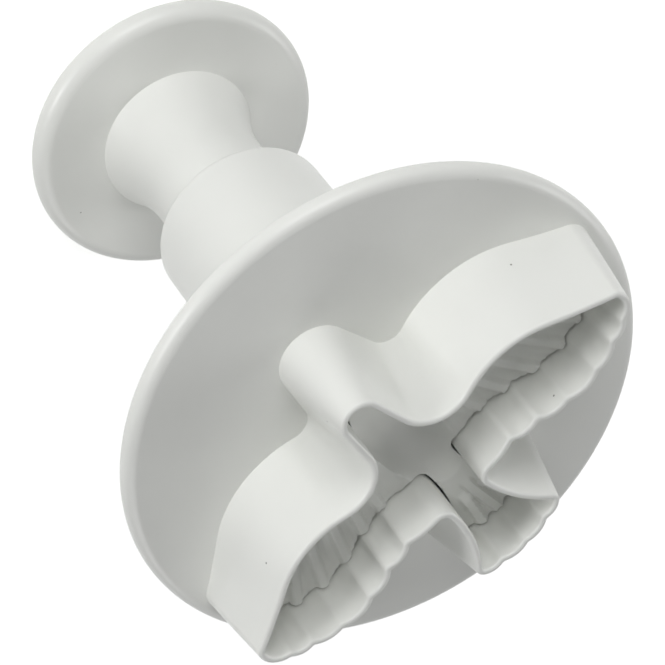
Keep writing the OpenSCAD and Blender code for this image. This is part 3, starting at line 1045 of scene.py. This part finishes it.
@dataclass
class Plunger:
    """Knob with its cap and screw, and the stem and spring behind the embosser."""

    plastic: Material
    spring_steel: Material
    zinc: Material
    knob_r: float = 20.0
    knob_t: float = 4.0
    neck_r: float = 8.15
    neck_end_z: float = 38.0
    flare_top_z: float = 15.0
    flare_r: float = 25.92
    flare_steps: int = 16
    socket_r: float = 4.05
    web_z: float = 14.0
    web_top_z: float = 17.0
    screw_hole_r: float = 1.7
    access_r: float = 4.5
    recess_r: float = 13.5
    recess_z: float = 1.6
    cap_r: float = 13.4
    cap_z: float = 0.1
    plug_r: float = 4.4
    plug_top_z: float = 5.6
    recess_round: float = 0.15
    cap_round: float = 0.35
    plug_round: float = 0.4
    wire_r: float = 0.55
    spring_r: float = 6.2
    spring_curls: int = 10
    spring_low_z: float = 38.0
    spring_high_z: float = 65.0
    end_pitch: float = 1.65
    wire_sides: int = 12
    curl_steps: int = 32
    wire_crease: float = 50.0

    def flare(self) -> list[Triple]:
        """Draws the flare between the knob and its neck.

        Returns:
            Its corners from the knob's face up to the neck.
        """
        centre = complex(self.neck_r + self.flare_r, self.flare_top_z)
        drop = self.flare_top_z - self.knob_t
        low = 180 + math.degrees(math.asin(drop / self.flare_r))
        points = [
            centre + polar(self.flare_r, low + (180 - low) * i / self.flare_steps)
            for i in range(self.flare_steps + 1)
        ]
        foot = (points[0].real, self.knob_t, 0.0)
        return [foot, *((p.real, p.imag, 0.0) for p in points[1:])]

    def build_knob(self) -> None:
        """Builds the disc with its round rim, the flared neck and the rear recess."""
        rim = self.knob_t / 2 - HAIR
        corners = [
            (self.knob_r, 0.0, rim),
            (self.knob_r, self.knob_t, rim),
            *self.flare(),
            (self.neck_r, self.neck_end_z, SOFT),
            (self.socket_r, self.neck_end_z, SOFT),
            (self.socket_r, self.web_top_z, CRISP),
            (self.screw_hole_r, self.web_top_z, CRISP),
            (self.screw_hole_r, self.web_z, CRISP),
            (self.access_r, self.web_z, EASED),
            (self.access_r, self.recess_z, self.recess_round),
            (self.recess_r, self.recess_z, self.recess_round),
            (self.recess_r, 0.0, EASED),
        ]
        knob = revolve("knob_moulding", corners)
        smooth(knob)
        seat(knob, "knob", "plunger", self.plastic)

    def build_cap(self) -> None:
        """Builds the cap with its eased edge and its plug."""
        corners = [
            (0.0, self.cap_z, 0),
            (self.cap_r, self.cap_z, self.cap_round),
            (self.cap_r, self.recess_z, CRISP),
            (self.plug_r, self.recess_z, SOFT),
            (self.plug_r, self.plug_top_z, self.plug_round),
            (0.0, self.plug_top_z, 0),
        ]
        cap = revolve("knob_cap_moulding", corners, closed=False)
        smooth(cap)
        seat(cap, "knob_cap", "plunger", self.plastic)

    def build_spring(self) -> None:
        """Builds the wire's round curls, closer at both ends, with its own length map."""
        sides, count = self.wire_sides, self.curl_steps * self.spring_curls
        rise = self.spring_high_z - self.spring_low_z - 2 * self.wire_r
        pitch = (rise - 2 * self.end_pitch) / (self.spring_curls - 2)
        rings = []
        for i in range(count + 1):
            t = i / self.curl_steps
            climb = (
                self.end_pitch * min(t, 1)
                + pitch * min(max(t - 1, 0), self.spring_curls - 2)
                + self.end_pitch * max(t - self.spring_curls + 1, 0)
            )
            ring = []
            for j in range(sides):
                spot = self.spring_r + polar(self.wire_r, 360 * j / sides)
                turned = polar(spot.real, 360 * t)
                z = self.spring_low_z + self.wire_r + climb + spot.imag
                ring.append((turned.real * MM, turned.imag * MM, z * MM))
            rings.append(ring)
        spring = draw_out("return_spring_wire", rings, Ends.CAPPED)
        wire_map = spring.data.uv_layers.new(name="wire")
        for loop in spring.data.loops:
            number = loop.vertex_index
            wire_map.data[loop.index].uv = (number % sides / sides, number // sides / count)
        smooth(spring, self.wire_crease)
        seat(spring, "return_spring", "plunger", self.spring_steel)
        # 9.5 mm of travel leave 17.5 of its 27 mm
        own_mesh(spring)

    def dress_carried_over(self) -> None:
        """Gives the stem and the screw, whose CAD shapes are right, their finishes."""
        for node, finish in (("plunger_stem", self.plastic), ("knob_screw", self.zinc)):
            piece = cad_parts[node]
            piece.data.materials.clear()
            piece.data.materials.append(finish)
            log.info("%s: CAD shape kept, finish %s", node, finish.name)

    def build(self) -> None:
        """Builds and dresses the plunger's pieces."""
        self.build_knob()
        self.build_cap()
        self.build_spring()
        self.dress_carried_over()


# Studio


@dataclass(frozen=True)
class SoftBox:
    """Square area lamp that faces the cutter."""

    name: str
    towards: Triple
    watts: float
    size: float = 0.6
    distance: float = 1.2
    aim: Triple = (0.0, 0.0, 0.045)

    def hang(self) -> None:
        """Adds the lamp to the scene."""
        way = Vector(self.towards).normalized()
        data = bpy.data.lights.new(self.name, "AREA")
        data.shape, data.size, data.energy = "SQUARE", self.size, self.watts
        lamp = bpy.data.objects.new(self.name, data)
        lamp.location = Vector(self.aim) + way * self.distance
        lamp.rotation_euler = way.to_track_quat("Z", "Y").to_euler()
        bpy.context.collection.objects.link(lamp)


@dataclass(frozen=True)
class Studio:
    """White floor, white surroundings, soft boxes and the photograph's camera."""

    camera_at: Triple = (-0.053478, -0.270617, 0.333181)
    camera_right: Triple = (-0.692443, 0.58098, 0.427767)
    camera_up: Triple = (-0.708893, -0.437647, -0.553114)
    # Lens and sensor in millimetres
    lens: float = 173.25
    sensor: float = 36.0
    clip: Pair = (0.01, 20.0)
    ambient: float = 0.073
    ambient_colour: str = "#FAFCFF"
    floor_r: float = 3.6
    floor_colour: str = "#E6E7E5"
    floor_glow: float = 0.68
    floor_sides: int = 96
    # Fibres of the paper, with their size and depth in millimetres
    fibre: float = 4.0
    fibre_depth: float = 0.02
    fibre_share: float = 0.3
    lamps: tuple[SoftBox, ...] = (
        SoftBox("key_box", (-0.475, -0.813, 0.336), 4.4),
        SoftBox("left_box", (-0.68, -0.7, 0.22), 1.95),
        SoftBox("low_box", (0.5, -0.85, 0.155), 4.65, 0.4),
        SoftBox("front_box", (-0.134, -0.686, 0.715), 1.2),
        SoftBox("right_box", (-0.692, 0.581, 0.428), 3.45),
        SoftBox("rear_box", (0.709, 0.438, 0.553), 2.5),
    )

    def place_camera(self) -> None:
        """Sets the camera where the photograph was taken from, rolled as it was held."""
        right, up = Vector(self.camera_right), Vector(self.camera_up)
        back = right.cross(up)
        data = bpy.data.cameras.new("photo_camera")
        data.lens, data.sensor_width, data.sensor_fit = self.lens, self.sensor, "HORIZONTAL"
        data.clip_start, data.clip_end = self.clip
        camera = bpy.data.objects.new("photo_camera", data)
        turned = Matrix((right, up, back)).transposed().to_4x4()
        camera.matrix_world = Matrix.Translation(self.camera_at) @ turned
        bpy.context.collection.objects.link(camera)
        bpy.context.scene.camera = camera

    def seen_rays(self, tree: NodeTree) -> NodeSocket:
        """Adds the test for camera, glossy and transmission rays, which show the white room.

        Args:
            tree: Node tree that gets the test.

        Returns:
            The socket that is 1 for such a ray, else 0.
        """
        path = add_node(tree, "LightPath").outputs
        seen = path["Is Camera Ray"]
        for kind in ("Is Glossy Ray", "Is Transmission Ray"):
            either = add_node(tree, "Math", {0: seen, 1: path[kind]}, operation="MAXIMUM")
            seen = either.outputs["Value"]
        return seen

    def paint_world(self) -> None:
        """Gives the world its even light, and white where it is seen."""
        world = bpy.data.worlds.new("white_room")
        bpy.context.scene.world = world
        tree = empty_tree(world)
        light = add_node(
            tree, "Background",
            {"Color": linear(self.ambient_colour), "Strength": self.ambient},
        ).outputs["Background"]
        white = add_node(tree, "Background", {"Color": WHITE}).outputs["Background"]
        mixed = add_node(tree, "MixShader", {0: self.seen_rays(tree), 1: light, 2: white})
        add_node(tree, "OutputWorld", {"Surface": mixed.outputs["Shader"]})

    def lay_floor(self) -> None:
        """Lays the pale floor, which looks white and keeps the cutter's shadow."""
        clear_selection()
        bpy.ops.mesh.primitive_circle_add(
            vertices=self.floor_sides, radius=self.floor_r, fill_type="NGON", location=(0, 0, 0)
        )
        floor = bpy.context.object
        floor.name = floor.data.name = "studio_floor"
        # Matt paper sweep: even, faintly fibrous white
        paper = bpy.data.materials.new("paper_sweep")
        tree = empty_tree(paper)
        place = add_node(tree, "TexCoord").outputs["Object"]
        fibre = noise(tree, place, per_metre(self.fibre), Detail=2.0)
        bump = relief(tree, fibre, self.fibre_depth, Strength=self.fibre_share)
        matt = add_node(
            tree, "BsdfDiffuse", {"Color": linear(self.floor_colour), "Normal": bump}
        ).outputs["BSDF"]
        level = add_node(
            tree, "Math", {0: self.seen_rays(tree), 1: self.floor_glow}, operation="MULTIPLY"
        ).outputs["Value"]
        glow = add_node(tree, "Emission", {"Color": WHITE, "Strength": level}).outputs["Emission"]
        both = add_node(tree, "AddShader", {0: matt, 1: glow})
        add_node(tree, "OutputMaterial", {"Surface": both.outputs["Shader"]})
        floor.data.materials.append(paper)

    def build(self) -> None:
        """Sets up the floor, the light and the camera."""
        scene = bpy.context.scene
        scene.view_settings.view_transform = "Standard"
        self.paint_world()
        self.lay_floor()
        for lamp in self.lamps:
            lamp.hang()
        self.place_camera()


def main() -> None:
    """Builds the sub-assemblies in order, then the studio."""
    logging.basicConfig(level=logging.INFO, format="%(message)s")
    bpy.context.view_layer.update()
    plastic = MouldedPlastic().material()
    spring_steel, zinc = SPRING_STEEL.material(), ZINC_PLATE.material()
    CutterHead(plastic).build()
    Embosser(plastic).build()
    Plunger(plastic, spring_steel, zinc).build()
    Studio().build()


if __name__ == "__main__":
    main()
